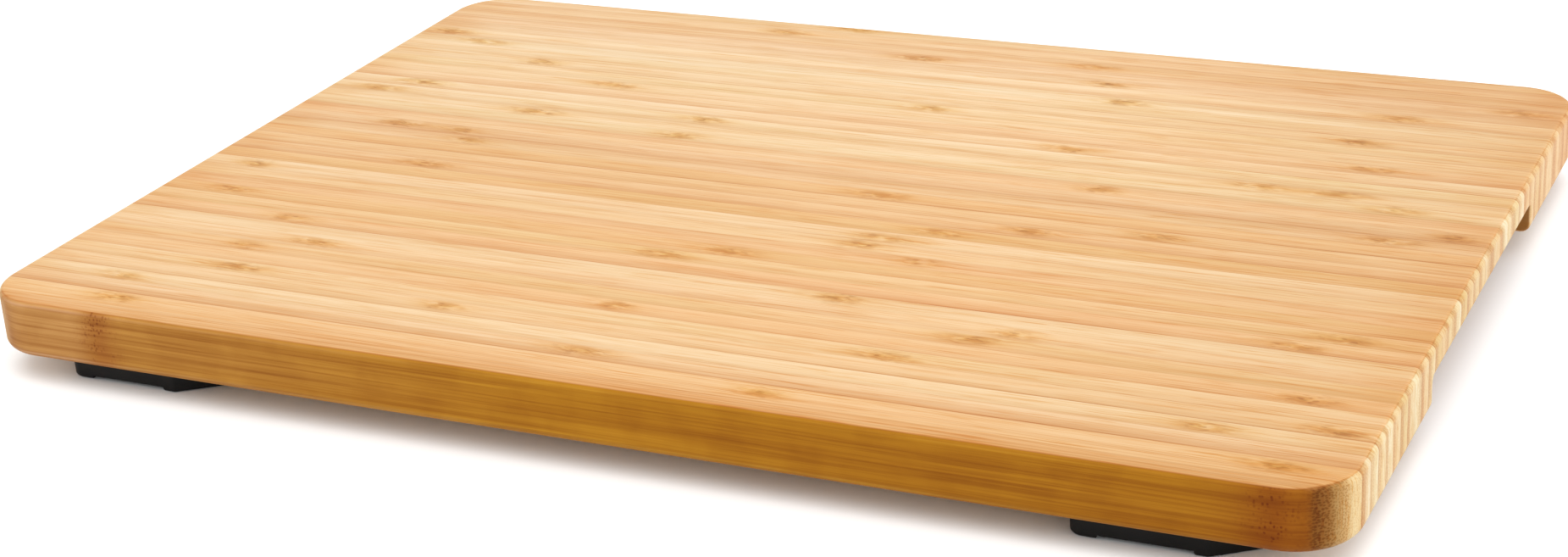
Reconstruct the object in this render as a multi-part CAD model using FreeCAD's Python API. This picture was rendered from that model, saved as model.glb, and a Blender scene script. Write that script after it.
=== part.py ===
"""Bamboo cutting board on four rubber feet.

The board is made of bamboo strips glued side by side on edge. A finger grip is cut into the underside
at each end. Each foot is held by two screws driven up into the bamboo.

Millimetres. +X is to the right along the strips, +Y is to the back, +Z is up.
The origin is on the standing surface, under the middle of the board.
"""

import FreeCAD
import Part
import math
import os

# Board
BOARD_LENGTH = 450.0
BOARD_DEPTH = 326.0
BOARD_THICKNESS = 20.0
CORNER_RADIUS = 20.0
TOP_EDGE_ROUND = 2.2
BOTTOM_EDGE_ROUND = 3.5
STRIP_COUNT = 38
FRONT_STRIP_SHARE = 2

# Finger grips, one in the underside at each end
GRIP_LENGTH = 140.7
GRIP_HEIGHT = 10.6
GRIP_DEPTH = 18.0
GRIP_OFFSET_Y = 5.15
GRIP_PLAN_RADIUS = 9.0
GRIP_CORNER_RADIUS = 2.5
GRIP_MOUTH_ROUND = 0.8

# Feet. Each has a straight front face, one end square to it and one end cut off at a slant.
FOOT_LENGTH = 57.0
FOOT_DEPTH = 24.0
FOOT_FRONT_LENGTH = 41.0
FOOT_SLANT_ANGLE = 36.0
FOOT_SQUARE_CORNER = 4.5
FOOT_SLANT_CORNER = 1.5
FOOT_OTHER_CORNER = 2.5
FOOT_HEIGHT = 8.6
SQUARE_END_ROUND = 1.5
SLANT_END_ROUND = 0.8
FOOT_SETBACK = 8.0
FOOT_LEFT_END_X = -197.2
FOOT_SPACING_X = 341.5

# The middle of each foot's underside is relieved, so that it stands on a tread at each end.
RELIEF_START = 9.0
RELIEF_END = 36.8
RELIEF_HEIGHT = 1.4
TREAD_ROUND = 1.2

# Screws
SCREW_STATIONS = (16.0, 30.5)
SCREW_FROM_FRONT = 12.9
SCREW_SHANK_RADIUS = 1.75
SCREW_HEAD_RADIUS = 3.5
SCREW_HEAD_HEIGHT = 2.4
SCREW_LENGTH = 16.0
SCREW_TIP_LENGTH = 3.0
SCREW_TIP_RADIUS = 0.22
SCREW_HEAD_ROUND = 1.2
DRIVE_WIDTH = 0.9
DRIVE_LENGTH = 4.2
DRIVE_DEPTH = 1.4
HEAD_SINK = 0.6
COUNTERBORE_RADIUS = 4.1
FOOT_HOLE_RADIUS = 2.0
PILOT_CLEARANCE = 0.05
PILOT_EXTRA_DEPTH = 1.0

STRIP_WIDTH = BOARD_DEPTH / (STRIP_COUNT - 1 + FRONT_STRIP_SHARE)
UNDERSIDE = FOOT_HEIGHT
UP = FreeCAD.Vector(0, 0, 1)
ORIGIN = FreeCAD.Vector(0, 0, 0)
REACH = 1.0
LEVEL_TOLERANCE = 1e-6
EDGE_TOLERANCE = 1e-3


def rounded_corner(before, corner, after, radius):
    """Return the tangent arc that rounds a corner of a flat outline, and its two ends."""
    to_before = (before - corner).normalize()
    to_after = (after - corner).normalize()
    half_angle = to_before.getAngle(to_after) / 2
    setback = radius / math.tan(half_angle)
    start = corner + to_before * setback
    end = corner + to_after * setback
    bisector = (to_before + to_after).normalize()
    middle = corner + bisector * (radius / math.sin(half_angle) - radius)
    return Part.Arc(start, middle, end).toShape(), start, end


def rounded_prism(points, radii, bottom, height):
    """Extrude a closed outline whose corners are rounded, from bottom upwards."""
    corners = [FreeCAD.Vector(x, y, bottom) for x, y in points]
    count = len(corners)
    arcs = []
    for index, corner in enumerate(corners):
        before = corners[index - 1]
        after = corners[(index + 1) % count]
        arcs.append(rounded_corner(before, corner, after, radii[index]))
    edges = []
    for index in range(count):
        arc, _, end = arcs[index]
        next_start = arcs[(index + 1) % count][1]
        edges.append(arc)
        edges.append(Part.makeLine(end, next_start))
    face = Part.Face(Part.Wire(edges))
    return face.extrude(UP * height)


def edges_at_height(solid, height):
    """Return the edges of a solid that lie flat at one height."""
    chosen = []
    for edge in solid.Edges:
        box = edge.BoundBox
        if abs(box.ZMin - height) < LEVEL_TOLERANCE and abs(box.ZMax - height) < LEVEL_TOLERANCE:
            chosen.append(edge)
    return chosen


def make_blank():
    """Return the board's block, with rounded corners and rounded top and bottom edges."""
    half_x = BOARD_LENGTH / 2
    half_y = BOARD_DEPTH / 2
    outline = [(-half_x, -half_y), (half_x, -half_y), (half_x, half_y), (-half_x, half_y)]
    block = rounded_prism(outline, [CORNER_RADIUS] * 4, UNDERSIDE, BOARD_THICKNESS)
    block = block.makeFillet(TOP_EDGE_ROUND, edges_at_height(block, UNDERSIDE + BOARD_THICKNESS))
    return block.makeFillet(BOTTOM_EDGE_ROUND, edges_at_height(block, UNDERSIDE))


def make_grip_cutter(side):
    """Return the space of the finger grip at the end of the board that side (+1 or -1) points to."""
    inner_x = side * (BOARD_LENGTH / 2 - GRIP_DEPTH)
    outer_x = side * (BOARD_LENGTH / 2 + GRIP_DEPTH)
    low_y = GRIP_OFFSET_Y - GRIP_LENGTH / 2
    high_y = GRIP_OFFSET_Y + GRIP_LENGTH / 2
    low_x = min(inner_x, outer_x)
    corner = FreeCAD.Vector(low_x, low_y, UNDERSIDE - GRIP_HEIGHT)
    space = Part.makeBox(2 * GRIP_DEPTH, GRIP_LENGTH, 2 * GRIP_HEIGHT, corner)
    upright = []
    for edge in space.Edges:
        box = edge.BoundBox
        if box.ZLength > GRIP_HEIGHT and abs(box.XMin - inner_x) < LEVEL_TOLERANCE:
            upright.append(edge)
    space = space.makeFillet(GRIP_PLAN_RADIUS, upright)
    ceiling = []
    for edge in edges_at_height(space, UNDERSIDE + GRIP_HEIGHT):
        if abs(edge.CenterOfMass.x - outer_x) > EDGE_TOLERANCE:
            ceiling.append(edge)
    return space.makeFillet(GRIP_CORNER_RADIUS, ceiling)


def mouth_edges(board, side):
    """Return the loop of edges round the open mouth of the grip on one side."""
    low_y = GRIP_OFFSET_Y - GRIP_LENGTH / 2 - EDGE_TOLERANCE
    high_y = GRIP_OFFSET_Y + GRIP_LENGTH / 2 + EDGE_TOLERANCE
    inner = BOARD_LENGTH / 2 - GRIP_DEPTH - EDGE_TOLERANCE
    chosen = []
    for edge in board.Edges:
        box = edge.BoundBox
        inside = box.YMin > low_y and box.YMax < high_y
        inside = inside and min(box.XMin * side, box.XMax * side) > inner
        middle = edge.valueAt((edge.FirstParameter + edge.LastParameter) / 2)
        on_end = abs(middle.x * side - BOARD_LENGTH / 2) < EDGE_TOLERANCE
        on_underside = abs(middle.z - UNDERSIDE) < EDGE_TOLERANCE
        near_rim = middle.x * side > BOARD_LENGTH / 2 - BOTTOM_EDGE_ROUND
        near_rim = near_rim and middle.z < UNDERSIDE + BOTTOM_EDGE_ROUND
        if inside and (on_end or on_underside or near_rim):
            chosen.append(edge)
    return chosen


def make_square_end():
    """Return the part of a foot from its square end to the start of the relief."""
    outline = [(0, 0), (FOOT_FRONT_LENGTH, 0), (FOOT_FRONT_LENGTH, FOOT_DEPTH), (0, FOOT_DEPTH)]
    block = rounded_prism(outline, [FOOT_SQUARE_CORNER] * 4, 0, FOOT_HEIGHT)
    block = block.makeFillet(SQUARE_END_ROUND, edges_at_height(block, 0))
    kept = Part.makeBox(RELIEF_START, FOOT_DEPTH, FOOT_HEIGHT)
    return block.common(kept)


def make_slant_end():
    """Return the part of a foot from the start of the relief to its slanted end."""
    slant_x = FOOT_LENGTH - FOOT_FRONT_LENGTH
    slant_y = slant_x * math.tan(math.radians(FOOT_SLANT_ANGLE))
    outline = [
        (0, 0),
        (FOOT_FRONT_LENGTH, 0),
        (FOOT_LENGTH, slant_y),
        (FOOT_LENGTH, FOOT_DEPTH),
        (0, FOOT_DEPTH),
    ]
    radii = [FOOT_OTHER_CORNER, FOOT_SLANT_CORNER] + [FOOT_OTHER_CORNER] * 3
    block = rounded_prism(outline, radii, 0, FOOT_HEIGHT)
    block = block.makeFillet(SLANT_END_ROUND, edges_at_height(block, 0))
    kept_corner = FreeCAD.Vector(RELIEF_START, 0, 0)
    kept = Part.makeBox(FOOT_LENGTH, FOOT_DEPTH, FOOT_HEIGHT, kept_corner)
    return block.common(kept)


def make_relief():
    """Return the hollow under a foot, flared at its mouth so that the treads beside it are rounded."""
    relief_corner = FreeCAD.Vector(RELIEF_START, -REACH, -REACH)
    relief_length = RELIEF_END - RELIEF_START
    relief = Part.makeBox(relief_length, FOOT_DEPTH + 2 * REACH, RELIEF_HEIGHT + REACH, relief_corner)
    flare_length = relief_length + 2 * TREAD_ROUND
    flare_corner = FreeCAD.Vector(RELIEF_START - TREAD_ROUND, -REACH, 0)
    flare = Part.makeBox(flare_length, FOOT_DEPTH + 2 * REACH, TREAD_ROUND, flare_corner)
    for middle_x in (RELIEF_START - TREAD_ROUND, RELIEF_END + TREAD_ROUND):
        middle = FreeCAD.Vector(middle_x, -REACH, TREAD_ROUND)
        along = FreeCAD.Vector(0, 1, 0)
        flare = flare.cut(Part.makeCylinder(TREAD_ROUND, FOOT_DEPTH + 2 * REACH, middle, along))
    return relief.fuse(flare).removeSplitter()


def make_foot():
    """Return one foot, with its square end and front face on the X and Y axes and its top at UNDERSIDE."""
    foot = make_square_end().fuse(make_slant_end()).removeSplitter()
    foot = foot.cut(make_relief())
    seat_height = RELIEF_HEIGHT + HEAD_SINK + SCREW_HEAD_HEIGHT
    for station in SCREW_STATIONS:
        centre = FreeCAD.Vector(station, SCREW_FROM_FRONT, 0)
        foot = foot.cut(Part.makeCylinder(COUNTERBORE_RADIUS, seat_height, centre, UP))
        foot = foot.cut(Part.makeCylinder(FOOT_HOLE_RADIUS, FOOT_HEIGHT, centre, UP))
    return foot


def make_screw():
    """Return one screw, its head's seat at the origin and its shank pointing up."""
    head_bottom = UP * -SCREW_HEAD_HEIGHT
    head = Part.makeCylinder(SCREW_HEAD_RADIUS, SCREW_HEAD_HEIGHT, head_bottom, UP)
    head = head.makeFillet(SCREW_HEAD_ROUND, edges_at_height(head, -SCREW_HEAD_HEIGHT))
    straight_length = SCREW_LENGTH - SCREW_TIP_LENGTH
    shank = Part.makeCylinder(SCREW_SHANK_RADIUS, straight_length, ORIGIN, UP)
    tip_base = UP * straight_length
    tip = Part.makeCone(SCREW_SHANK_RADIUS, SCREW_TIP_RADIUS, SCREW_TIP_LENGTH, tip_base, UP)
    screw = head.fuse([shank, tip]).removeSplitter()
    for length, width in ((DRIVE_LENGTH, DRIVE_WIDTH), (DRIVE_WIDTH, DRIVE_LENGTH)):
        corner = FreeCAD.Vector(-length / 2, -width / 2, -SCREW_HEAD_HEIGHT - REACH)
        screw = screw.cut(Part.makeBox(length, width, DRIVE_DEPTH + REACH, corner))
    return screw


def foot_placements():
    """Return each foot's name and place: the rear feet are the front ones turned half round."""
    turn = FreeCAD.Rotation(UP, 180)
    places = {}
    for name, left_end_x in (("left", FOOT_LEFT_END_X), ("right", FOOT_LEFT_END_X + FOOT_SPACING_X)):
        corner = FreeCAD.Vector(left_end_x, FOOT_SETBACK - BOARD_DEPTH / 2, 0)
        places["foot_front_" + name] = FreeCAD.Placement(corner, FreeCAD.Rotation())
    for name, opposite in (("left", "right"), ("right", "left")):
        front = places["foot_front_" + opposite].Base
        places["foot_rear_" + name] = FreeCAD.Placement(front * -1, turn)
    return places


def placed(shape, placement):
    """Return a copy of a shape at a placement."""
    return shape.transformed(placement.toMatrix(), True)


def screw_seats(places):
    """Return the point under each screw head's seat, for every foot."""
    seat_height = RELIEF_HEIGHT + HEAD_SINK + SCREW_HEAD_HEIGHT
    seats = []
    for placement in places.values():
        for station in SCREW_STATIONS:
            seats.append(placement.multVec(FreeCAD.Vector(station, SCREW_FROM_FRONT, seat_height)))
    return seats


def make_board(seats):
    """Return the whole bamboo board: block, grips and the screws' pilot holes."""
    board = make_blank()
    for side in (1, -1):
        board = board.cut(make_grip_cutter(side))
        board = board.makeFillet(GRIP_MOUTH_ROUND, mouth_edges(board, side))
    for seat in seats:
        bottom = FreeCAD.Vector(seat.x, seat.y, UNDERSIDE - REACH)
        depth = seat.z + SCREW_LENGTH + PILOT_EXTRA_DEPTH - bottom.z
        board = board.cut(Part.makeCylinder(SCREW_SHANK_RADIUS + PILOT_CLEARANCE, depth, bottom, UP))
    return board


def slice_strip(board, index):
    """Return one strip of the board, counted from 0 at the front."""
    is_front = index == 0
    width = FRONT_STRIP_SHARE * STRIP_WIDTH if is_front else STRIP_WIDTH
    steps = 0 if is_front else FRONT_STRIP_SHARE + index - 1
    corner = FreeCAD.Vector(-BOARD_LENGTH, steps * STRIP_WIDTH - BOARD_DEPTH / 2, UNDERSIDE - REACH)
    slab = Part.makeBox(2 * BOARD_LENGTH, width, BOARD_THICKNESS + 2 * REACH, corner)
    return board.common(slab).Solids[0]


def export(name, shape):
    """Write one sub-part to its own STEP file."""
    shape.exportStep("parts/" + name + ".step")


def main():
    os.makedirs("parts", exist_ok=True)
    places = foot_placements()
    seats = screw_seats(places)
    board = make_board(seats)
    for index in range(STRIP_COUNT):
        export("bamboo_strip_%02d" % (index + 1), slice_strip(board, index))
    foot = make_foot()
    for name, placement in places.items():
        export(name, placed(foot, placement))
    screw = make_screw()
    screws = [placed(screw, FreeCAD.Placement(seat, FreeCAD.Rotation())) for seat in seats]
    export("foot_screws", Part.makeCompound(screws))


main()
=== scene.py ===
"""Looks of the bamboo cutting board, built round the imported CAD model.

Every piece is a CAD node. Each bamboo strip gets a solid bamboo material of its own, so that fibres run
along the strip on its faces and show as dots where they are cut across. Metres, in the model's frame.
"""

import math
import random

import bpy
from mathutils import Matrix, Vector

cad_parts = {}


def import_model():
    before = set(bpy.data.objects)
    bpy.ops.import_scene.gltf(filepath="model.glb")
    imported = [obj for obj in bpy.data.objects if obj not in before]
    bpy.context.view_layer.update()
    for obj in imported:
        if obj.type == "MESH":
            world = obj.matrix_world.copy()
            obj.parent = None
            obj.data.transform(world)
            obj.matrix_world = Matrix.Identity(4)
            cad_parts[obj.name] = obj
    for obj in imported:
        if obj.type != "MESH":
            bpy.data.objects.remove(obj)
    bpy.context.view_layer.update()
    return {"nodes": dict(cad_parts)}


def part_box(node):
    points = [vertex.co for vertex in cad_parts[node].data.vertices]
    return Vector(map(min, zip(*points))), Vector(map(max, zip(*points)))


MM = 0.001

# Bamboo tones, linear colour
TONES = {
    "cream": (0.581, 0.418, 0.246),
    "light": (0.572, 0.389, 0.215),
    "honey": (0.558, 0.359, 0.183),
    "amber": (0.548, 0.337, 0.157),
    "tan": (0.529, 0.319, 0.154),
    "rose": (0.553, 0.359, 0.195),
}
# The culm's caramel skin on the front and back faces; its darkness is partly the skin's own colour and
# partly painted shade of those faces
SHADED_CULM_CARAMEL = (0.320, 0.132, 0.006, 1.0)
SHADED_CULM_OCHRE = (0.372, 0.168, 0.010, 1.0)
SHADED_CULM_PALE = (0.455, 0.240, 0.085, 1.0)
# Grip walls: partly a deeper oil stain, partly painted shade of the recess
GRIP_STAIN_AND_SHADE = (0.24, 0.095, 0.013, 1.0)

# Colours of the feet and the screws
RUBBER_DARK = (0.005, 0.0045, 0.004, 1.0)
RUBBER_PALE = (0.009, 0.0085, 0.008, 1.0)
RUBBER_DUST = (0.022, 0.022, 0.023, 1.0)
ZINC_BRIGHT = (0.62, 0.63, 0.65, 1.0)
ZINC_DULL = (0.50, 0.50, 0.50, 1.0)

# Tints, which multiply the colour under them
SKIN_TINT = (0.88, 0.76, 0.61)
FIBRE_TINT = (0.91, 0.76, 0.54)
FLECK_TINT = (0.90, 0.74, 0.50)
PALE_TINT = (1.03, 1.09, 1.17)
BUNDLE_TINT = (0.64, 0.53, 0.36)
DENSE_TINT = (0.66, 0.54, 0.35)
ARRIS_TINT = (0.86, 0.70, 0.48)
OILED_TINT = (0.95, 0.86, 0.72)
INNER_END_TINT = (1.02, 1.11, 1.20)
WORN_TINT = (1.05, 1.14, 1.27)
AMBER_TINT = (0.93, 0.91, 0.87)
# Paler end faces: partly cream end grain, partly painted light
END_GRAIN_AND_LIGHT_TINT = (0.99, 1.17, 1.36)
GOLD_TINT = (0.95, 0.80, 0.48)
KNUCKLE_TINT = (0.75, 0.60, 0.38)
KNUCKLE_SPOT_TINT = (0.62, 0.48, 0.32)
BELT_TINT = (0.84, 0.70, 0.68)
BELT_SPOT_TINT = (0.60, 0.42, 0.36)
EYE_TINT = (1.04, 1.14, 1.20)
# Tint of the skin's lines and clouds, also used for painted shade towards the bottom of the skin
LINE_AND_SHADE_TINT = (0.84, 0.76, 0.66)
PALE_LINE_TINT = (1.14, 1.20, 1.30)
DARK_END_TINT = (0.84, 0.72, 0.80)
CORNER_TINT = (0.82, 0.74, 0.66)
# A painted highlight, paler and less brown, on the rounded edge above the culm's skin
BAND_HIGHLIGHT_TINT = (1.08, 1.17, 1.80)
RIM_TINT = (0.78, 0.60, 0.42)
GLUE_TINT = (0.80, 0.64, 0.44)

# Each strip from the front: its tone, and the places of its knuckles in millimetres from the middle
STRIPS = [
    ("honey", (-178, 51, 203)),
    ("rose", (-13,)),
    ("cream", (178, -187)),
    ("light", (-71, 213)),
    ("light", (76, -153)),
    ("honey", (-19, 200)),
    ("honey", (95, -162)),
    ("light", (107, -140)),
    ("cream", (45,)),
    ("honey", (187, -160)),
    ("honey", (-23, 200)),
    ("amber", (-197, -4)),
    ("honey", (58,)),
    ("light", (35,)),
    ("cream", (-203, 40)),
    ("amber", (56,)),
    ("honey", (-143, 83)),
    ("honey", (125,)),
    ("amber", (24,)),
    ("rose", (194, -140)),
    ("rose", (-173, -148, 213)),
    ("light", (93,)),
    ("cream", (-68, 190)),
    ("cream", (143, 169, -131)),
    ("cream", (-203, -66)),
    ("cream", (-190, 70)),
    ("light", (174,)),
    ("light", (-116,)),
    ("light", (9,)),
    ("light", (-156, 163)),
    ("light", ()),
    ("cream", (-191, 74)),
    ("light", (-212, 172)),
    ("rose", (62,)),
    ("rose", (-15, 210)),
    ("tan", (51,)),
    ("honey", (-78,)),
    ("rose", (-53,)),
]
STRIP_COUNT = len(STRIPS)
# The first strips all have the culm's skin on their front side, and most of the others too
SKIN_FORWARD_STRIPS = 8
SKIN_FORWARD_CHANCE = 0.8
# Strips with a darker glue line on their front side
DARK_JOINTS = (2, 4, 10, 19, 37)
# Belts of dark spots where a knuckle crosses the culm's skin, on the front strip and the back one
BELTS = {1: (-176, 205), STRIP_COUNT: (-60, 150)}
# Strips that the finger grips are cut into
GRIP_STRIPS = range(11, 29)

# Each strip's grain starts at a random place, up to so many metres away along, across and up
GRAIN_SHIFTS = (50.0, 5.0, 5.0)
# Places far enough away for one pattern to be used twice without repeating itself
SWAY_SHIFT = (3.1, 0.0, 0.0)
FLECK_SHIFT = (7.7, 0.0, 0.0)

# Noise patterns: waves per metre along, across and up the strip, then detail and roughness
PATTERNS = {
    "knuckle_edge": ((60.0, 500.0, 300.0), 2.0, 0.5),
    "sway_across": ((8.0, 35.0, 25.0), 2.0, 0.5),
    "sway_up": ((11.0, 35.0, 25.0), 2.0, 0.5),
    "kick": ((170.0, 160.0, 60.0), 1.0, 0.5),
    "cloud": ((11.0, 70.0, 14.0), 2.0, 0.5),
    "broad": ((3.0, 420.0, 24.0), 2.0, 0.5),
    "wisps": ((24.0, 800.0, 70.0), 3.0, 0.60),
    "streak": ((15.0, 1900.0, 110.0), 3.0, 0.62),
    "fine": ((28.0, 4300.0, 1100.0), 2.0, 0.70),
    "flecks": ((42.0, 1500.0, 260.0), 2.0, 0.60),
    "mottle": ((240.0, 330.0, 240.0), 2.0, 0.5),
    "culm_lines": ((13.0, 90.0, 1100.0), 3.0, 0.65),
    "culm_waves": ((5.0, 40.0, 260.0), 2.0, 0.5),
    "culm_drift": ((4.0, 20.0, 90.0), 2.0, 0.5),
    "culm_clouds": ((70.0, 30.0, 60.0), 2.0, 0.5),
    "blotch": ((150.0, 330.0, 200.0), 2.0, 0.5),
    "dashes": ((300.0, 900.0, 300.0), 1.0, 0.5),
    "belt_edge": ((90.0, 60.0, 160.0), 3.0, 0.5),
    "belt_patches": ((160.0, 60.0, 220.0), 2.0, 0.5),
    "glue": ((14.0, 200.0, 60.0), 2.0, 0.5),
    "grip_dark_patches": ((90.0, 300.0, 90.0), 2.0, 0.5),
    "rubber_grain": ((2600.0, 2600.0, 2600.0), 3.0, 0.6),
    "rubber_patch": ((60.0, 60.0, 60.0), 3.0, 0.5),
    "zinc_blotch": ((900.0, 900.0, 900.0), 3.0, 0.5),
    "zinc_lines": ((500.0, 500.0, 6000.0), 2.0, 0.5),
}
# Cells per metre of the dots that fibre bundles make, and of the belts' spots
BUNDLE_CELLS = (1500.0, 1500.0, 1.0)
SPOT_CELLS = (900.0, 250.0, 750.0)

# Smooth steps: where each starts and ends and, unless they are 0 and 1, what it gives there
STEPS = {
    # by the size of one part of the normal
    "cross_cut": (0.15, 0.50),
    "on_end": (0.38, 0.56),
    "arris_of_end": (0.32, 0.46),
    "culm_upright": (0.86, 0.76),
    "culm_outward": (0.83, 0.92),
    "culm_corner": (0.995, 0.90, 0.0, 0.9),
    "culm_rim": (0.30, 0.80),
    # by the place along the board, or the distance from its middle
    "oiled_ends": (0.196, 0.222),
    "amber_right": (0.06, 0.20),
    "worn_left": (0.20, 0.0),
    "flecks_along": (-0.10, 0.15, 0.7, 1.0),
    "pale_left": (0.0, -0.185, 0.0, 0.40),
    "pale_left_corner": (-0.177, -0.187, 0.0, 0.50),
    "culm_right": (-0.05, 0.22, 0.0, 0.5),
    "culm_right_corner": (0.180, 0.204),
    "joints_along": (-0.05, 0.15, 0.85, 1.40),
    # by the place across the board
    "worn_back": (0.02, 0.12),
    "end_grain_and_light_front": (0.14, -0.02),
    # by the depth under the culm's skin
    "dense": (14.0 * MM, 0.5 * MM),
    "shallow": (7.5 * MM, 6.0 * MM),
    # by the skin value, which is about 1 at the culm's skin and 0 on the strip's inner side
    "browner": (0.35, 1.15),
    "paler": (0.45, -0.05),
    "outer_wood": (0.30, 1.00),
    "outer_end": (0.45, 1.05),
    "bundle_size": (0.0, 1.0, 0.34, 0.56),
    "bundle_strength": (-0.1, 1.0),
    # by the value of a pattern
    "tone": (0.30, 0.70),
    "oiled_patches": (0.25, 0.60),
    "flecks": (0.57, 0.67),
    "mottle": (0.40, 0.60),
    "culm_drift": (0.35, 0.65),
    "culm_clouds": (0.40, 0.65, 0.0, 0.5),
    "culm_waves": (0.44, 0.66, 0.0, 0.8),
    "culm_dark_lines": (0.48, 0.64, 0.0, 1.0),
    "culm_pale_lines": (0.46, 0.32, 0.0, 0.9),
    "gold_blotch": (0.20, 0.50),
    "heart_blotch": (0.38, 0.62),
    "dashes": (0.54, 0.66),
    "belt_cells": (0.46, 0.20),
    "belt_patches": (0.40, 0.58),
    "glue": (0.30, 0.60, 0.35, 1.0),
    "grip_dark_patches": (0.2, 0.6, 0.70, 0.92),
    "rubber_patch": (0.35, 0.70),
    "rubber_grain": (0.60, 0.78),
    "zinc_blotch": (0.3, 0.7),
}
# Fibre streaks from broad to fine: pattern, the step that picks its dark or pale parts, tint
STREAK_LAYERS = (
    ("wisps", (0.50, 0.72, 0.0, 0.75), FIBRE_TINT),
    ("wisps", (0.46, 0.28, 0.0, 0.75), PALE_TINT),
    ("streak", (0.50, 0.68, 0.0, 0.75), FIBRE_TINT),
    ("streak", (0.44, 0.30, 0.0, 0.60), PALE_TINT),
    ("fine", (0.48, 0.72, 0.0, 0.50), FIBRE_TINT),
)

# Bell curves by how level the surface is: middle and width
ARRIS_BELL = (0.89, 0.06)
RIM_BELL = (0.84, 0.06)
# Where the painted highlight sits on the rounded edge over the culm's skin
BAND_HIGHLIGHT_BELL = (0.42, 0.20)

# How far the fibre lines wander, and how far a knuckle pushes them aside
SWAY_ACROSS = 2.0 * MM
SWAY_UP = 1.8 * MM
KICK_ACROSS = 5.0 * MM

# Ground tone: weight of the broad pattern, and how much brown and pale a strip has
BROAD_WEIGHT = 0.9
LEAN = (0.10, 0.55)
LEAN_OF_FRONT_STRIPS = 0.9
FRONT_STRIPS = 2
END_BROWN = 0.5

# The second shade of each tone: how much darker it may be, and how its three colours follow
WARM_SHADE = (0.90, 0.97)
WARM_RED_SHARE = 0.5
WARM_HUE = 0.02
WARM_BLUE = 0.96
WARM_BLUE_LOSS = 0.05

# Knuckles: lengths, widths and the ranges that vary them
KNUCKLE_ZONE_WIDTH = 9.0 * MM
KNUCKLE_RAGGED = 7.0 * MM
KNUCKLE_PLACE = (0.38, 0.62)
KNUCKLE_SIZE = (0.75, 1.25)
KNUCKLE_FORCE = (0.70, 1.0)
KNUCKLE_WIDTH = 3.2 * MM
SMUDGE_LENGTH = 12.0 * MM
HEART_LENGTH = 7.5 * MM
EYE_OFFSET_MM = (-2.0, 2.0)
EYE_LENGTH = 1.5 * MM
EYE_WIDTH = 0.7 * MM
DASH_STRENGTH = 0.8
BELT_RAGGED = 9.0 * MM
BELT_WIDTH = 6.0 * MM

# Culm skin. The number just over 1 keeps the square root for a level face off zero.
JUST_OVER_ONE = 1.0001
DENSE_COATS = 3
LEFT_FADING = 0.90
CULM_PALE_SHARE = 0.80
CULM_SHADED_FROM = 4.0 * MM
CULM_SHADE = 0.45
RIM_STRENGTH = 0.8

# Fibre bundles: strength at the inner side and at the skin, and how much less they show elsewhere
BUNDLE_CORE = 0.45
BUNDLE_STRENGTH = (0.12, 0.40)
BUNDLE_STRENGTH_OUTER = (0.35, 0.95)
BUNDLE_LOST_ON_SKIN = 0.85
BUNDLE_SHARE_ALONG = 0.35

# Glue lines
DARK_JOINT_REACH = 0.75 * MM
JOINT_REACH = 0.40 * MM
JOINT_REACH_BEHIND = 0.20 * MM
JOINT_FORCE = (0.15, 0.85)
JOINT_FORCE_ON_END = 0.6
JOINT_STRENGTH_BEHIND = 0.7
JOINT_TRAIL = 1.3 * MM
JOINT_TRAIL_STRENGTH = 0.7
JOINT_GROOVE = 0.15 * MM

# Finger grips: the darkening, partly oil stain and partly painted shade of the recess, starts just
# inside the end face, the underside, the ceiling and the back wall
GRIP_OUTER_X = (224.9 * MM, 224.0 * MM)
GRIP_INNER_X = (205.0 * MM, 206.0 * MM)
GRIP_ABOVE_UNDERSIDE = (0.1 * MM, 0.9 * MM)
GRIP_CEILING = (20.5 * MM, 20.0 * MM)

# Sheen and relief
BAMBOO_ROUGHNESS = (0.40, 0.16)
BUNDLE_ROUGHNESS = 0.10
BAMBOO_SPECULAR = 0.20
OUTER_STRIP_SPECULAR = 0.06
FIBRE_HEIGHT = 0.5
BUNDLE_HEIGHT = 0.6
BAMBOO_RELIEF = (0.30, 0.05 * MM)
RUBBER_ROUGHNESS = (0.42, 0.20)
RUBBER_SPECULAR = 0.12
RUBBER_DUST_SHARE = 0.20
RUBBER_RELIEF = (0.30, 0.08 * MM)
ZINC_ROUGHNESS = (0.22, 0.25)
ZINC_RELIEF = (0.20, 0.02 * MM)

# Camera
CAMERA_AT = Vector((387.7, -818.5, 382.0)) * MM
CAMERA_AZIMUTH = 26.10
CAMERA_ELEVATION = 23.08
CAMERA_ROLL = -3.64
LENS = 66.0
CLIP_START = 0.01
CLIP_END = 50.0

# Studio
WORLD_COLOUR = (1.0, 1.0, 1.0, 1.0)
WORLD_STRENGTH = 0.98
FLOOR_COLOUR = (0.90, 0.90, 0.90, 1.0)
FLOOR_ROUGHNESS = 0.9
FLOOR_HALF_SIZE = 5.0
# Just below the feet, so that their treads do not lie in the floor itself
FLOOR_LEVEL = -0.2 * MM
# Area lights: place, width, height and watts; all face one point in the board
LIGHTS = {
    "overhead": ((0.35, -0.35, 1.9), 2.8, 2.4, 36.0),
    "right_side": ((2.0, -0.15, 0.60), 1.6, 1.0, 19.0),
    "left_side": ((-1.9, -0.50, 0.60), 1.4, 0.9, 8.0),
}
LIGHTS_FACE = (0.0, 0.0, 0.02)


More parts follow.
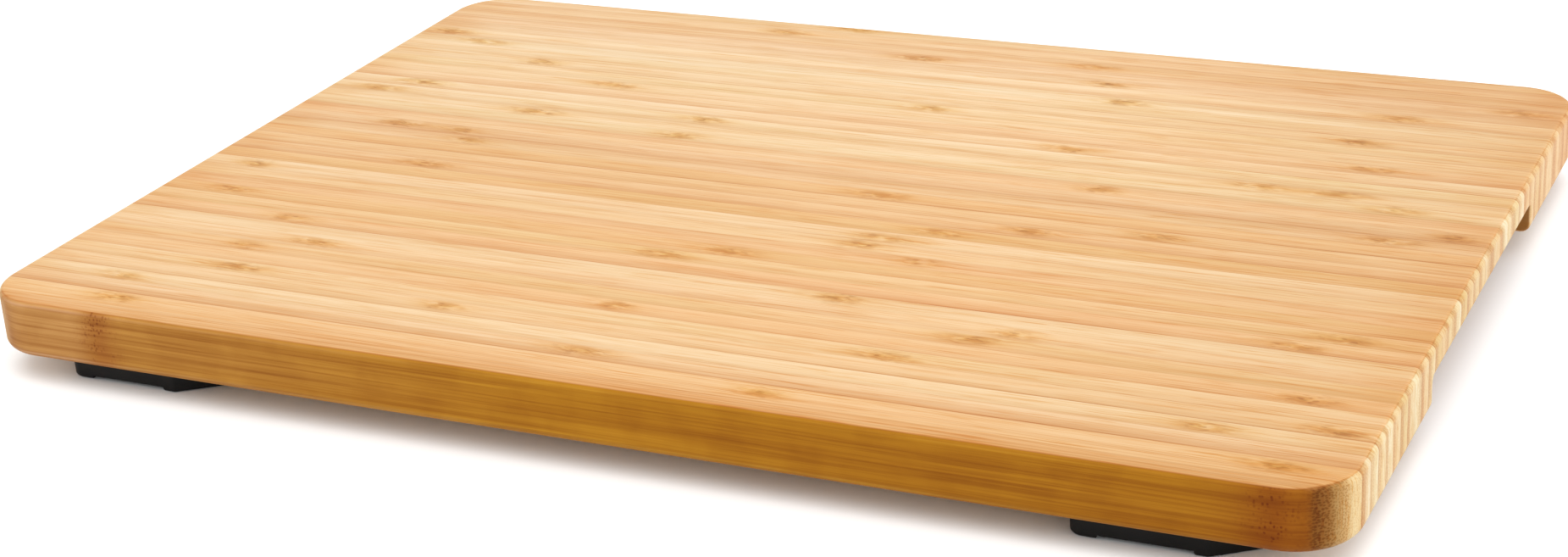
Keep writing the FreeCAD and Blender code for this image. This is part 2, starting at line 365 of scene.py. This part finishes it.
class Graph:
    """One material and short calls that add nodes to it."""

    def __init__(self, name):
        self.material = bpy.data.materials.new(name)
        self.material.use_nodes = True
        self.tree = self.material.node_tree
        self.tree.nodes.clear()
        self.shader = self.add("ShaderNodeBsdfPrincipled")
        output = self.add("ShaderNodeOutputMaterial")
        self.tree.links.new(self.shader.outputs[0], output.inputs[0])

    def add(self, kind, **values):
        """Add a node and set its properties."""
        node = self.tree.nodes.new(kind)
        for name, value in values.items():
            setattr(node, name, value)
        return node

    def feed(self, socket, value):
        """Link value to a socket if it is an output, or set it as the socket's own value."""
        if isinstance(value, bpy.types.NodeSocket):
            self.tree.links.new(value, socket)
        else:
            socket.default_value = value

    def math(self, operation, *values):
        node = self.add("ShaderNodeMath", operation=operation)
        for socket, value in zip(node.inputs, values):
            self.feed(socket, value)
        return node.outputs[0]

    def times(self, *values):
        """Product of some values."""
        product = values[0]
        for value in values[1:]:
            product = self.math("MULTIPLY", product, value)
        return product

    def total(self, values):
        """Sum of some values."""
        added = values[0]
        for value in values[1:]:
            added = self.math("ADD", added, value)
        return added

    def inverse(self, value):
        """One less a value."""
        return self.math("SUBTRACT", 1.0, value)

    def step(self, value, low, high, out_low=0.0, out_high=1.0):
        """Smooth step of a value from low to high."""
        node = self.add("ShaderNodeMapRange", interpolation_type="SMOOTHSTEP")
        for socket, given in zip(node.inputs, (value, low, high, out_low, out_high)):
            self.feed(socket, given)
        return node.outputs[0]

    def mask(self, value, name, *results):
        """Smooth step of a value by one of the named steps."""
        return self.step(value, *STEPS[name], *results)

    def bell(self, value, middle, width):
        """Bell curve of a value round middle."""
        offset = self.math("DIVIDE", self.math("SUBTRACT", value, middle), width)
        return self.math("EXPONENT", self.times(offset, offset, -1.0))

    def split(self, vector):
        """The three parts of a vector."""
        node = self.add("ShaderNodeSeparateXYZ")
        self.feed(node.inputs[0], vector)
        return node.outputs[0], node.outputs[1], node.outputs[2]

    def joined(self, x, y, z):
        """A vector from its three parts."""
        node = self.add("ShaderNodeCombineXYZ")
        for socket, value in zip(node.inputs, (x, y, z)):
            self.feed(socket, value)
        return node.outputs[0]

    def scaled(self, vector, scale):
        node = self.add("ShaderNodeVectorMath", operation="MULTIPLY")
        self.feed(node.inputs[0], vector)
        self.feed(node.inputs[1], scale)
        return node.outputs[0]

    def moved(self, vector, offset):
        node = self.add("ShaderNodeVectorMath", operation="ADD")
        self.feed(node.inputs[0], vector)
        self.feed(node.inputs[1], offset)
        return node.outputs[0]

    def noise(self, vector, pattern):
        """One of the named noise patterns, mostly between 0.3 and 0.7."""
        scale, detail, roughness = PATTERNS[pattern]
        node = self.add("ShaderNodeTexNoise", noise_dimensions="3D")
        self.feed(node.inputs["Vector"], self.scaled(vector, scale))
        node.inputs["Scale"].default_value = 1.0
        node.inputs["Detail"].default_value = detail
        node.inputs["Roughness"].default_value = roughness
        return node.outputs[0]

    def swing(self, vector, pattern):
        """A noise pattern round zero."""
        return self.math("SUBTRACT", self.noise(vector, pattern), 0.5)

    def ragged(self, value, vector, pattern, reach):
        """A value moved to and fro by a noise pattern, by up to half of reach."""
        shift = self.math("MULTIPLY_ADD", self.noise(vector, pattern), reach, -0.5 * reach)
        return self.math("ADD", value, shift)

    def cells(self, vector, scale, dimensions="3D"):
        """Distance to the nearest point of a random lattice."""
        node = self.add("ShaderNodeTexVoronoi", voronoi_dimensions=dimensions, feature="F1")
        self.feed(node.inputs["Vector"], self.scaled(vector, scale))
        node.inputs["Scale"].default_value = 1.0
        return node.outputs["Distance"]

    def blend(self, kind, factor, first, second):
        node = self.add("ShaderNodeMix", data_type="RGBA", blend_type=kind)
        self.feed(node.inputs["Factor"], factor)
        colours = [socket for socket in node.inputs if socket.type == "RGBA"]
        self.feed(colours[0], first)
        self.feed(colours[1], second)
        return [socket for socket in node.outputs if socket.type == "RGBA"][0]

    def mix(self, factor, first, second):
        """The first colour where factor is 0, the second where it is 1."""
        return self.blend("MIX", factor, first, second)

    def tint(self, colour, factor, tint):
        """Multiply a colour by a tint where factor is 1."""
        return self.blend("MULTIPLY", factor, colour, (*tint, 1.0))

    def roughen(self, pattern, least, spread):
        """Roughness that grows with a pattern from its least value."""
        return self.math("MULTIPLY_ADD", pattern, spread, least)

    def bump(self, height, strength, distance):
        """Fine relief, too shallow to be modelled."""
        node = self.add("ShaderNodeBump")
        node.inputs["Strength"].default_value = strength
        node.inputs["Distance"].default_value = distance
        self.feed(node.inputs["Height"], height)
        self.feed(self.shader.inputs["Normal"], node.outputs[0])


class Bamboo:
    """The solid bamboo of one strip: shared coordinates and masks, then its colour in layers."""

    def __init__(self, number, tone, knuckles, low, high):
        self.g = g = Graph("bamboo_%02d" % number)
        self.number = number
        self.outer = number in BELTS
        self.dice = dice = random.Random(number)
        self.low, self.high = low, high
        coord = g.add("ShaderNodeTexCoord")
        point = coord.outputs["Object"]
        self.x, self.y, self.z = g.split(point)
        normal_x, self.side_normal, normal_z = g.split(coord.outputs["Normal"])
        self.level = g.math("ABSOLUTE", normal_z)
        self.endward = g.math("ABSOLUTE", normal_x)
        self.cross_cut = g.mask(self.endward, "cross_cut")
        self.on_end = g.mask(self.endward, "on_end")
        self.here = g.moved(point, tuple(dice.uniform(0.0, reach) for reach in GRAIN_SHIFTS))
        if number <= SKIN_FORWARD_STRIPS:
            skin_forward = True
        else:
            skin_forward = number < STRIP_COUNT and dice.random() < SKIN_FORWARD_CHANCE
        if skin_forward:
            self.depth = g.math("SUBTRACT", self.y, low.y)
        else:
            self.depth = g.math("SUBTRACT", high.y, self.y)
        self.place_knuckles(knuckles)
        self.bend_fibres()
        self.colour = self.ground(TONES[tone])
        self.add_streaks()
        self.add_end_grain()
        if self.outer:
            self.add_culm_skin_and_shade()
        self.add_bundles()
        if knuckles:
            self.add_knuckles()
        if self.outer:
            self.add_belts()
        self.add_joints()
        if number in GRIP_STRIPS:
            self.add_grip()
        self.finish()

    def stain(self, factor, tint):
        """Add a layer to the strip's colour."""
        self.colour = self.g.tint(self.colour, factor, tint)

    def place_knuckles(self, knuckles):
        """Masks for each knuckle: a smudge along the strip, its dark heart and its pale eye."""
        g, dice = self.g, self.dice
        width = min(self.high.y - self.low.y, KNUCKLE_ZONE_WIDTH)
        along = g.ragged(self.x, self.here, "knuckle_edge", KNUCKLE_RAGGED)
        self.smudges, self.hearts, self.eyes = [], [], []
        for place in knuckles:
            middle_y = self.high.y - width * dice.uniform(*KNUCKLE_PLACE)
            size = dice.uniform(*KNUCKLE_SIZE)
            force = dice.uniform(*KNUCKLE_FORCE)
            across = g.bell(self.y, middle_y, KNUCKLE_WIDTH)
            self.smudges.append(g.times(g.bell(along, place * MM, SMUDGE_LENGTH * size), across))
            self.hearts.append(g.times(g.bell(along, place * MM, HEART_LENGTH * size), across, force))
            eye = g.bell(self.x, (place + dice.uniform(*EYE_OFFSET_MM)) * MM, EYE_LENGTH)
            self.eyes.append(g.times(eye, g.bell(self.y, middle_y, EYE_WIDTH)))

    def bend_fibres(self):
        """Fibre lines wander a little, and more round a knuckle."""
        g = self.g
        sway_y = g.swing(self.here, "sway_across")
        sway_z = g.swing(g.moved(self.here, SWAY_SHIFT), "sway_up")
        bend_y = g.times(sway_y, SWAY_ACROSS)
        if self.smudges:
            kick = g.times(g.swing(self.here, "kick"), g.total(self.smudges))
            bend_y = g.math("MULTIPLY_ADD", kick, KICK_ACROSS, bend_y)
        self.fibre = g.moved(self.here, g.joined(0.0, bend_y, g.times(sway_z, SWAY_UP)))

    def ground(self, tone):
        """The strip's tone, browner towards the culm's skin and paler towards its inside."""
        g, dice = self.g, self.dice
        cloud = g.noise(self.here, "cloud")
        colour = g.mix(g.mask(cloud, "tone"), (*tone, 1.0), (*warmer(tone, dice), 1.0))
        nearness = g.step(self.depth, self.high.y - self.low.y, 0.0)
        self.skin = g.math("MULTIPLY_ADD", g.swing(self.fibre, "broad"), BROAD_WEIGHT, nearness)
        lean = dice.uniform(*LEAN) if self.number > FRONT_STRIPS else LEAN_OF_FRONT_STRIPS
        colour = g.tint(colour, g.mask(self.skin, "browner", 0.0, lean), SKIN_TINT)
        colour = g.tint(colour, g.mask(self.skin, "paler", 0.0, lean), PALE_TINT)
        oiled = g.mask(g.math("ABSOLUTE", self.x), "oiled_ends")
        colour = g.tint(colour, g.times(oiled, g.mask(cloud, "oiled_patches")), OILED_TINT)
        colour = g.tint(colour, g.mask(self.x, "amber_right"), AMBER_TINT)
        worn = g.times(g.mask(self.y, "worn_back"), g.mask(self.x, "worn_left"))
        return g.tint(colour, worn, WORN_TINT)

    def add_streaks(self):
        """Dark and pale streaks along the fibres, and short dark flecks."""
        g = self.g
        streaks = {name: g.noise(self.fibre, name) for name in ("wisps", "streak", "fine")}
        self.streak, self.fine = streaks["streak"], streaks["fine"]
        for name, picked, tint in STREAK_LAYERS:
            self.stain(g.step(streaks[name], *picked), tint)
        flecks = g.mask(g.noise(g.moved(self.fibre, FLECK_SHIFT), "flecks"), "flecks")
        self.stain(g.times(flecks, g.mask(self.x, "flecks_along")), FLECK_TINT)

    def add_end_grain(self):
        """Cut across, the strip's end is paler, partly cream end grain and partly painted light,
        stronger towards the front; the inner wood is cream, and the arris round the end is stained
        darker.
        """
        g = self.g
        # Paler end faces, stronger towards the front: partly end grain, partly painted light
        self.stain(g.times(self.on_end, g.mask(self.y, "end_grain_and_light_front")), END_GRAIN_AND_LIGHT_TINT)
        inner = g.inverse(g.mask(self.skin, "outer_wood"))
        self.stain(g.times(self.on_end, inner), INNER_END_TINT)
        self.stain(g.times(self.on_end, g.mask(self.skin, "outer_end"), END_BROWN), SKIN_TINT)
        arris = g.times(g.bell(self.level, *ARRIS_BELL), g.mask(self.endward, "arris_of_end"))
        self.stain(g.times(arris, g.mask(g.noise(self.here, "mottle"), "mottle")), ARRIS_TINT)

    def add_culm_skin_and_shade(self):
        """The culm's caramel skin on the outer side, darkened further as painted shade of that upright
        face, and the dense wood behind it at the corners.
        """
        g = self.g
        # How squarely an upright face looks to the front or the back
        plan = g.math("SQRT", g.math("SUBTRACT", JUST_OVER_ONE, g.times(self.level, self.level)))
        outward = g.math("DIVIDE", g.math("ABSOLUTE", self.side_normal), plan)
        left_end = g.math("ADD", g.mask(self.x, "pale_left"), g.mask(self.x, "pale_left_corner"))

        self.fading = g.math("MULTIPLY_ADD", left_end, -LEFT_FADING, 1.0)
        dense = g.times(g.mask(self.depth, "dense"), self.cross_cut, self.fading)
        for _ in range(DENSE_COATS):
            self.stain(dense, DENSE_TINT)

        # The inner face, where the strip meets its neighbour, is too deep to be skin and stays wood
        shallow = g.mask(self.depth, "shallow")
        upright = g.times(g.mask(self.level, "culm_upright"), shallow)
        self.skin_and_shade_side = g.times(g.mask(outward, "culm_outward"), upright)
        lines = g.noise(self.here, "culm_lines")
        waves = g.noise(self.here, "culm_waves")
        drift = g.noise(self.here, "culm_drift")
        clouds = g.noise(self.here, "culm_clouds")
        shaded_from = self.low.z + CULM_SHADED_FROM
        layers = (
            # The first layer is painted shade, darker towards the bottom of the upright face
            (g.step(self.z, self.high.z, shaded_from, 0.0, CULM_SHADE), LINE_AND_SHADE_TINT),
            (g.mask(self.x, "culm_right"), LINE_AND_SHADE_TINT),
            (g.mask(clouds, "culm_clouds"), LINE_AND_SHADE_TINT),
            (g.mask(self.x, "culm_right_corner"), DARK_END_TINT),
            (g.mask(waves, "culm_waves"), LINE_AND_SHADE_TINT),
            (g.mask(lines, "culm_dark_lines"), LINE_AND_SHADE_TINT),
            (g.mask(lines, "culm_pale_lines"), PALE_LINE_TINT),
            (g.mask(outward, "culm_corner"), CORNER_TINT),
            # A painted highlight on the rounded edge, where light from above falls
            (g.bell(self.level, *BAND_HIGHLIGHT_BELL), BAND_HIGHLIGHT_TINT),
        )
        caramel = g.mix(g.mask(drift, "culm_drift"), SHADED_CULM_CARAMEL, SHADED_CULM_OCHRE)
        caramel = g.mix(g.times(left_end, CULM_PALE_SHARE), caramel, SHADED_CULM_PALE)
        for factor, tint in layers:
            caramel = g.tint(caramel, factor, tint)
        # Caramel on the faces that look to the front or the back: the skin's colour, darkened as
        # painted shade of those faces
        self.colour = g.mix(self.skin_and_shade_side, self.colour, caramel)
        rim = g.times(g.bell(self.level, *RIM_BELL), g.mask(outward, "culm_rim"))
        self.stain(g.times(rim, shallow, RIM_STRENGTH), RIM_TINT)

    def add_bundles(self):
        """Fibre bundles run along the strip, so they are dots where it is cut across."""
        g = self.g
        _, along_y, along_z = g.split(self.fibre)
        distance = g.cells(g.joined(along_y, along_z, 0.0), BUNDLE_CELLS, "2D")
        size = g.mask(self.skin, "bundle_size")
        dots = g.step(distance, size, g.times(size, BUNDLE_CORE))
        results = BUNDLE_STRENGTH_OUTER if self.outer else BUNDLE_STRENGTH
        strength = g.mask(self.skin, "bundle_strength", *results)
        if self.outer:
            bare = g.math("MULTIPLY_ADD", self.skin_and_shade_side, -BUNDLE_LOST_ON_SKIN, 1.0)
            strength = g.times(strength, bare, self.fading)
        share = g.math("MULTIPLY_ADD", self.cross_cut, 1.0 - BUNDLE_SHARE_ALONG, BUNDLE_SHARE_ALONG)
        self.bundle = g.times(dots, strength, share)
        self.stain(self.bundle, BUNDLE_TINT)

    def add_knuckles(self):
        """Golden smudges with a dark heart, dark dashes and a pale eye."""
        g = self.g
        smudge = g.total(self.smudges)
        if self.outer:
            smudge = g.times(smudge, g.inverse(self.skin_and_shade_side))
        blotch = g.noise(self.here, "blotch")
        self.stain(g.times(smudge, g.mask(blotch, "gold_blotch")), GOLD_TINT)
        hearts = g.total(self.hearts)
        self.stain(g.times(hearts, g.mask(blotch, "heart_blotch")), KNUCKLE_TINT)
        dashes = g.mask(g.noise(self.here, "dashes"), "dashes")
        self.stain(g.times(hearts, dashes, DASH_STRENGTH), KNUCKLE_SPOT_TINT)
        self.stain(g.total(self.eyes), EYE_TINT)

    def add_belts(self):
        """A belt of dark spots where a knuckle crosses the culm's skin."""
        g = self.g
        along = g.ragged(self.x, self.here, "belt_edge", BELT_RAGGED)
        belt = g.total([g.bell(along, place * MM, BELT_WIDTH) for place in BELTS[self.number]])
        belt = g.times(belt, self.skin_and_shade_side)
        self.stain(belt, BELT_TINT)
        spots = g.mask(g.cells(self.here, SPOT_CELLS), "belt_cells")
        spots = g.times(spots, g.mask(g.noise(self.here, "belt_patches"), "belt_patches"))
        self.stain(g.times(belt, spots), BELT_SPOT_TINT)

    def add_joints(self):
        """A glue line on each side of the strip, stronger on the front side."""
        g = self.g
        near = g.math("SUBTRACT", self.y, self.low.y)
        far = g.math("SUBTRACT", self.high.y, self.y)
        self.line = g.math("MINIMUM", near, far)
        dark = self.number in DARK_JOINTS
        reach = DARK_JOINT_REACH if dark else JOINT_REACH
        force = 1.0 if dark else self.dice.uniform(*JOINT_FORCE)
        force = g.math("MAXIMUM", g.times(self.on_end, JOINT_FORCE_ON_END), force)
        uneven = g.times(g.mask(g.noise(self.here, "glue"), "glue"), force)
        uneven = g.times(uneven, g.mask(self.x, "joints_along"))
        if self.number > 1:
            self.stain(g.times(g.step(near, reach, 0.0), uneven), GLUE_TINT)
            trail = g.math("EXPONENT", g.math("DIVIDE", near, -JOINT_TRAIL))
            self.stain(g.times(trail, uneven, JOINT_TRAIL_STRENGTH), SKIN_TINT)
        if self.number < STRIP_COUNT:
            behind = g.step(far, JOINT_REACH_BEHIND, 0.0)
            self.stain(g.times(behind, uneven, JOINT_STRENGTH_BEHIND), GLUE_TINT)

    def add_grip(self):
        """The finger grip's routed walls are darker: partly a deeper oil stain, partly painted shade of
        the recess.
        """
        g = self.g
        from_middle = g.math("ABSOLUTE", self.x)
        above_from, above_to = GRIP_ABOVE_UNDERSIDE
        within = g.step(from_middle, *GRIP_OUTER_X)
        beyond = g.step(from_middle, *GRIP_INNER_X)
        above = g.step(self.z, self.low.z + above_from, self.low.z + above_to)
        below = g.step(self.z, *GRIP_CEILING)
        patchy = g.mask(g.noise(self.here, "grip_dark_patches"), "grip_dark_patches")
        # Darker grip walls: partly oil stain, partly painted shade of the recess
        self.colour = g.mix(g.times(within, beyond, above, below, patchy), self.colour, GRIP_STAIN_AND_SHADE)

    def finish(self):
        """Give the shader its colour, sheen and relief."""
        g = self.g
        g.feed(g.shader.inputs["Base Color"], self.colour)
        rough = g.roughen(self.streak, *BAMBOO_ROUGHNESS)
        g.feed(g.shader.inputs["Roughness"], g.roughen(self.bundle, rough, BUNDLE_ROUGHNESS))
        specular = OUTER_STRIP_SPECULAR if self.outer else BAMBOO_SPECULAR
        g.shader.inputs["Specular IOR Level"].default_value = specular
        fibres = g.times(self.fine, FIBRE_HEIGHT)
        height = g.math("SUBTRACT", fibres, g.times(self.bundle, BUNDLE_HEIGHT))
        height = g.math("SUBTRACT", height, g.step(self.line, JOINT_GROOVE, 0.0))
        g.bump(height, *BAMBOO_RELIEF)


def warmer(colour, dice):
    """Return a slightly darker colour, moved a little towards red or yellow."""
    lean = dice.uniform(-1.0, 1.0)
    shade = dice.uniform(*WARM_SHADE)
    red, green, blue = colour
    return (
        red * (1.0 - WARM_RED_SHARE + WARM_RED_SHARE * shade) * (1.0 + WARM_HUE * lean),
        green * shade * (1.0 - WARM_HUE * lean),
        blue * shade * (WARM_BLUE - WARM_BLUE_LOSS * abs(lean)),
    )


def rubber():
    """Return a matt moulded black rubber."""
    g = Graph("moulded_rubber")
    point = g.add("ShaderNodeTexCoord").outputs["Object"]
    grain = g.noise(point, "rubber_grain")
    patch = g.noise(point, "rubber_patch")
    colour = g.mix(g.mask(patch, "rubber_patch"), RUBBER_DARK, RUBBER_PALE)
    dust = g.times(g.mask(grain, "rubber_grain"), RUBBER_DUST_SHARE)
    g.feed(g.shader.inputs["Base Color"], g.mix(dust, colour, RUBBER_DUST))
    g.feed(g.shader.inputs["Roughness"], g.roughen(patch, *RUBBER_ROUGHNESS))
    g.shader.inputs["Specular IOR Level"].default_value = RUBBER_SPECULAR
    g.bump(grain, *RUBBER_RELIEF)
    return g.material


def zinc():
    """Return bright zinc-plated steel with a fine turned grain."""
    g = Graph("zinc_plate")
    point = g.add("ShaderNodeTexCoord").outputs["Object"]
    blotch = g.mask(g.noise(point, "zinc_blotch"), "zinc_blotch")
    lines = g.noise(point, "zinc_lines")
    g.feed(g.shader.inputs["Base Color"], g.mix(blotch, ZINC_BRIGHT, ZINC_DULL))
    g.shader.inputs["Metallic"].default_value = 1.0
    g.feed(g.shader.inputs["Roughness"], g.roughen(lines, *ZINC_ROUGHNESS))
    g.bump(lines, *ZINC_RELIEF)
    return g.material


def dress(node, material):
    """Give every slot of a CAD node one material."""
    for slot in node.material_slots:
        slot.material = material


def dress_board(nodes):
    """Give each strip its own bamboo, the feet rubber and the screws zinc."""
    for number, (tone, knuckles) in enumerate(STRIPS, start=1):
        name = "bamboo_strip_%02d" % number
        low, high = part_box(name)
        strip = Bamboo(number, tone, knuckles, Vector(low), Vector(high))
        dress(nodes[name], strip.g.material)
    black = rubber()
    for name in ("foot_front_left", "foot_front_right", "foot_rear_left", "foot_rear_right"):
        dress(nodes[name], black)
    dress(nodes["foot_screws"], zinc())


def add_floor():
    """A plain pale floor under the board."""
    mesh = bpy.data.meshes.new("floor")
    half = FLOOR_HALF_SIZE
    corners = [(-half, -half), (half, -half), (half, half), (-half, half)]
    mesh.from_pydata([(x, y, FLOOR_LEVEL) for x, y in corners], [], [(0, 1, 2, 3)])
    floor = bpy.data.objects.new("floor", mesh)
    bpy.context.scene.collection.objects.link(floor)
    g = Graph("floor_pale")
    g.shader.inputs["Base Color"].default_value = FLOOR_COLOUR
    g.shader.inputs["Roughness"].default_value = FLOOR_ROUGHNESS
    mesh.materials.append(g.material)


def add_lights():
    """Three soft area lights and an even white surround."""
    for name, (at, width, height, watts) in LIGHTS.items():
        data = bpy.data.lights.new(name, "AREA")
        data.shape = "RECTANGLE"
        data.size = width
        data.size_y = height
        data.energy = watts
        light = bpy.data.objects.new(name, data)
        light.location = at
        light.rotation_mode = "QUATERNION"
        light.rotation_quaternion = (Vector(LIGHTS_FACE) - Vector(at)).to_track_quat("-Z", "Y")
        bpy.context.scene.collection.objects.link(light)
    world = bpy.data.worlds.new("studio")
    world.use_nodes = True
    back = world.node_tree.nodes["Background"]
    back.inputs["Color"].default_value = WORLD_COLOUR
    back.inputs["Strength"].default_value = WORLD_STRENGTH
    bpy.context.scene.world = world


def add_camera():
    """The camera, in front of the board, to its right and above it."""
    data = bpy.data.cameras.new("camera")
    data.lens = LENS
    data.clip_start = CLIP_START
    data.clip_end = CLIP_END
    camera = bpy.data.objects.new("camera", data)
    turn = Matrix.Rotation(math.radians(CAMERA_AZIMUTH), 4, "Z")
    turn = turn @ Matrix.Rotation(math.radians(90.0 - CAMERA_ELEVATION), 4, "X")
    turn = turn @ Matrix.Rotation(math.radians(CAMERA_ROLL), 4, "Z")
    camera.matrix_world = Matrix.Translation(CAMERA_AT) @ turn
    bpy.context.scene.collection.objects.link(camera)
    bpy.context.scene.camera = camera


def main():
    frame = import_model()
    dress_board(frame["nodes"])
    add_floor()
    add_lights()
    add_camera()
    bpy.context.scene.view_settings.view_transform = "Standard"


main()
